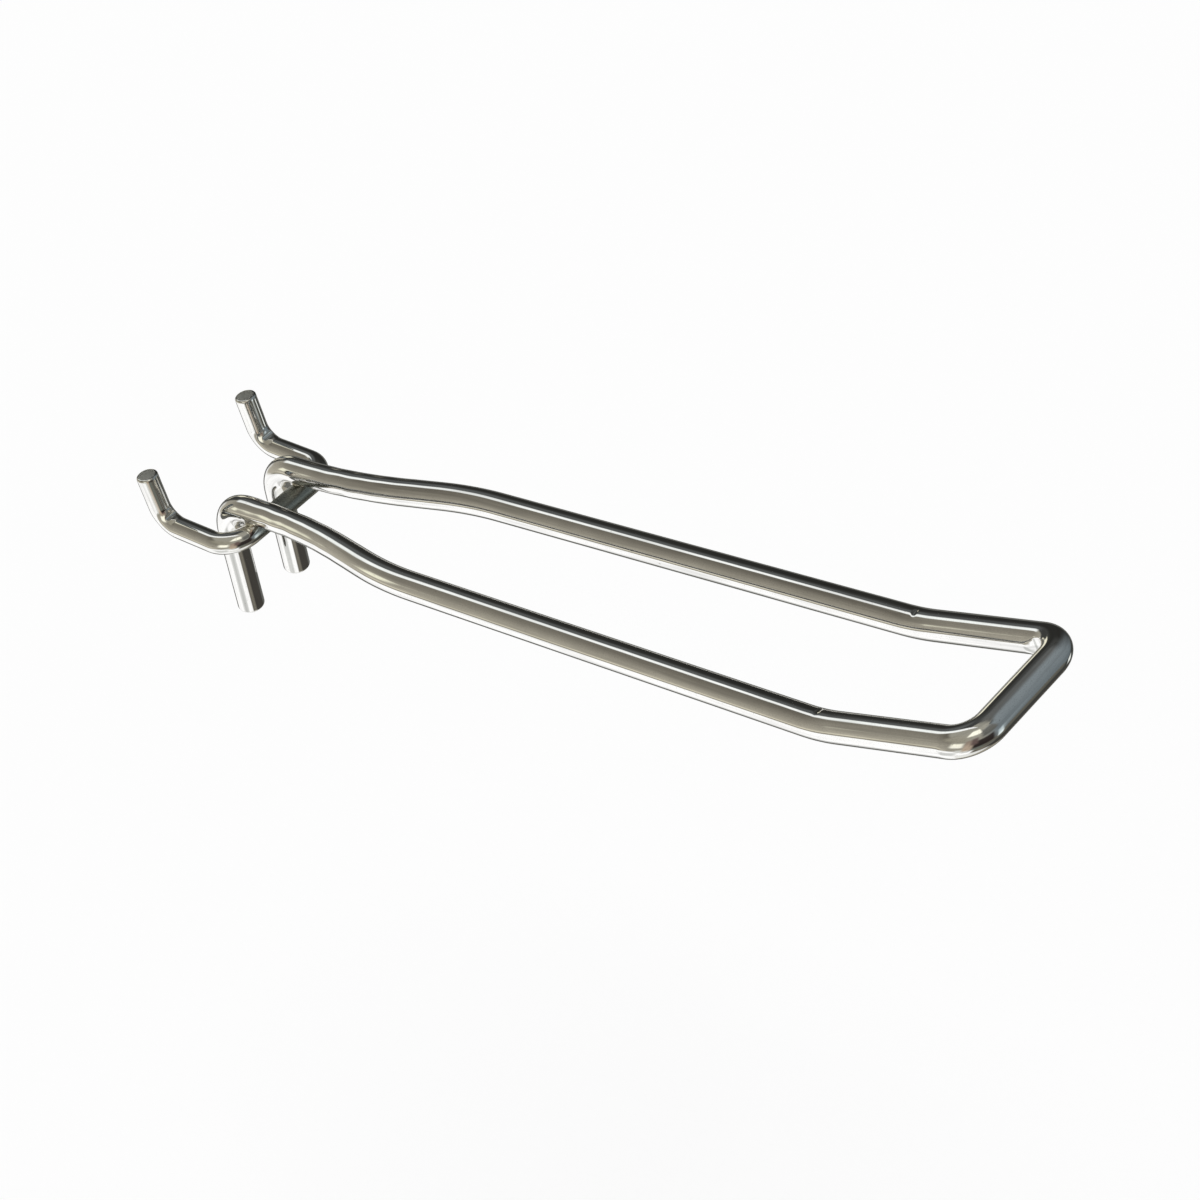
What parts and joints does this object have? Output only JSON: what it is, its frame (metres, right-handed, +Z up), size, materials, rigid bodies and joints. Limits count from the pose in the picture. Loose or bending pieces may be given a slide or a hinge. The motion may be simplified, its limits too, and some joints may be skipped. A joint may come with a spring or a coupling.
{
  "type": "pegboard hook",
  "caption": "Bright-plated wire display hook for perforated board: a long splayed loop arm with an upturned tip, welded on a bent wire staple whose prongs turn up behind the board.",
  "frame": {"origin": "on the front face of the board, midway between the two holes, at the height where the shanks pass through it", "axes": "+X out of the board towards the loop's tip, +Z up, +Y across the hook, from one prong to the other"},
  "size_m": [0.1822, 0.0302, 0.0698],
  "materials": {
    "bright_plating": "bright mirror plating over round steel wire"
  },
  "bodies": {
    "root": {"loop_wire": "bright_plating", "peg_wire": "bright_plating"}
  },
  "joints": []
}
